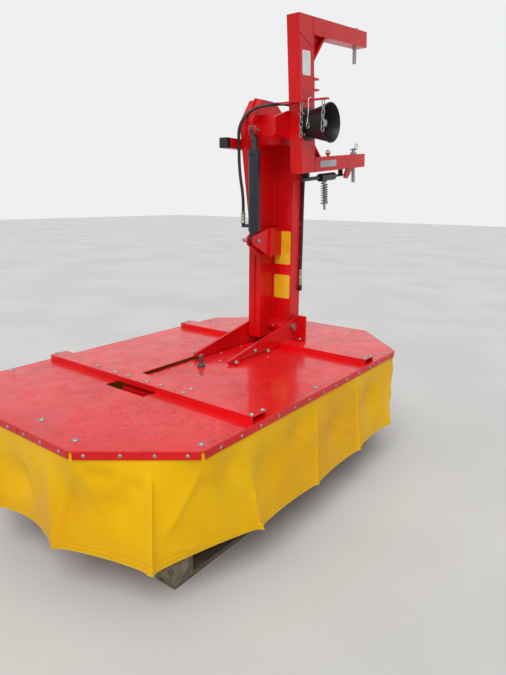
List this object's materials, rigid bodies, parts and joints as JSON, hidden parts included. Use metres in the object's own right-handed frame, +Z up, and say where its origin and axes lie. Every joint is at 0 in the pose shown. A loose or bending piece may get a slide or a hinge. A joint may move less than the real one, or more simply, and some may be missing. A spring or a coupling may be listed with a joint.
{
  "type": "drum mower",
  "caption": "Three-point drum mower parked on a pallet, its arm folded upright, with skirted deck, turning drums, belt arm, hitch and lift cylinder.",
  "frame": {"origin": "on the ground under the middle of the cutting unit", "axes": "+Z up, +Y the way the mower drives, +X to the free outer end of the cutting unit"},
  "size_m": [2.306, 1.47, 2.3452],
  "materials": {
    "red_paint": "gloss, wet with rain",
    "skirt_cloth": "coated cloth, satin",
    "zinc": "zinc plated",
    "bare_steel": "rolled steel",
    "chrome": "polished",
    "black_plastic": "matt",
    "black_paint": "satin",
    "wood": "raw, weathered"
  },
  "bodies": {
    "cutting_unit": {"cross_bars": "red_paint", "deck_end": "red_paint", "deck_sides": "red_paint", "drum_hubs": "red_paint", "edge_rails": "red_paint", "gear_beam": "red_paint", "gear_cover": "red_paint", "glide_dishes": "bare_steel", "hinge_brackets": "red_paint", "hinge_pin": "zinc", "oil_filler": "zinc", "pallet_blocks": "wood", "pallet_boards": "wood", "pallet_stringers": "wood", "skirt": "skirt_cloth"},
    "arm": {"arm_tube": "red_paint", "arm_foot": "red_paint", "belt_housing": "red_paint", "arm_head": "red_paint", "stand_bar": "red_paint", "stand_plug": "black_plastic", "cylinder_clevis": "red_paint", "clevis_pin": "zinc", "lift_hose": "black_plastic"},
    "hitch": {"hitch_post": "red_paint", "hitch_arm_lower": "red_paint", "hitch_arm_upper": "red_paint", "link_pin_lower": "zinc", "link_pin_upper": "zinc", "top_link_ears": "red_paint", "shaft_shelf": "red_paint", "drive_guard": "black_plastic", "lift_lever": "red_paint", "lift_pin": "zinc", "trip_tube": "black_paint", "trip_plunger": "zinc", "trip_spring": "zinc", "guard_chains": "zinc", "shackle": "zinc", "linch_pin": "zinc"},
    "drive_shaft": {"drive_shaft": "zinc"},
    "lift_barrel": {"cylinder_barrel": "black_paint"},
    "lift_rod": {"cylinder_rod": "chrome"},
    "drum_unit_outer": {"drum_outer": "red_paint", "disc_outer": "red_paint", "blades_outer": "bare_steel"},
    "drum_unit_inner": {"drum_inner": "red_paint", "disc_inner": "red_paint", "blades_inner": "bare_steel"}
  },
  "joints": [
    {"name": "arm_fold", "type": "hinge", "parent": "cutting_unit", "child": "arm", "pos_m": [-0.55, 0, 0.712], "axis": [0, 1, 0], "range_deg": [-90, 0]},
    {"name": "hitch_swing", "type": "hinge", "parent": "arm", "child": "hitch", "pos_m": [-0.48, 0, 1.79], "axis": [0, 1, 0], "range_deg": [-22, 4]},
    {"name": "shaft_spin", "type": "hinge", "parent": "arm", "child": "drive_shaft", "pos_m": [-0.48, 0.1, 1.79], "axis": [0, 1, 0], "continuous": true},
    {"name": "barrel_pivot", "type": "hinge", "parent": "arm", "child": "lift_barrel", "pos_m": [-0.3, 0.02, 1.21], "axis": [0, 1, 0], "range_deg": [-2, 2]},
    {"name": "rod_slide", "type": "slide", "parent": "lift_barrel", "child": "lift_rod", "axis": [0.0086, 0, 1], "range_m": [-0.02, 0.08]},
    {"name": "drum_outer_spin", "type": "hinge", "parent": "cutting_unit", "child": "drum_unit_outer", "pos_m": [0.465, 0, 0.3], "axis": [0, 0, 1], "continuous": true},
    {"name": "drum_inner_spin", "type": "hinge", "parent": "cutting_unit", "child": "drum_unit_inner", "pos_m": [-0.465, 0, 0.3], "axis": [0, 0, 1], "continuous": true}
  ],
  "couplings": [
    {"joint": "drum_inner_spin", "follows": "drum_outer_spin", "ratio": -1},
    {"joint": "barrel_pivot", "follows": "hitch_swing", "ratio": -0.005},
    {"joint": "rod_slide", "follows": "hitch_swing", "m_per_rad": -0.1867}
  ]
}
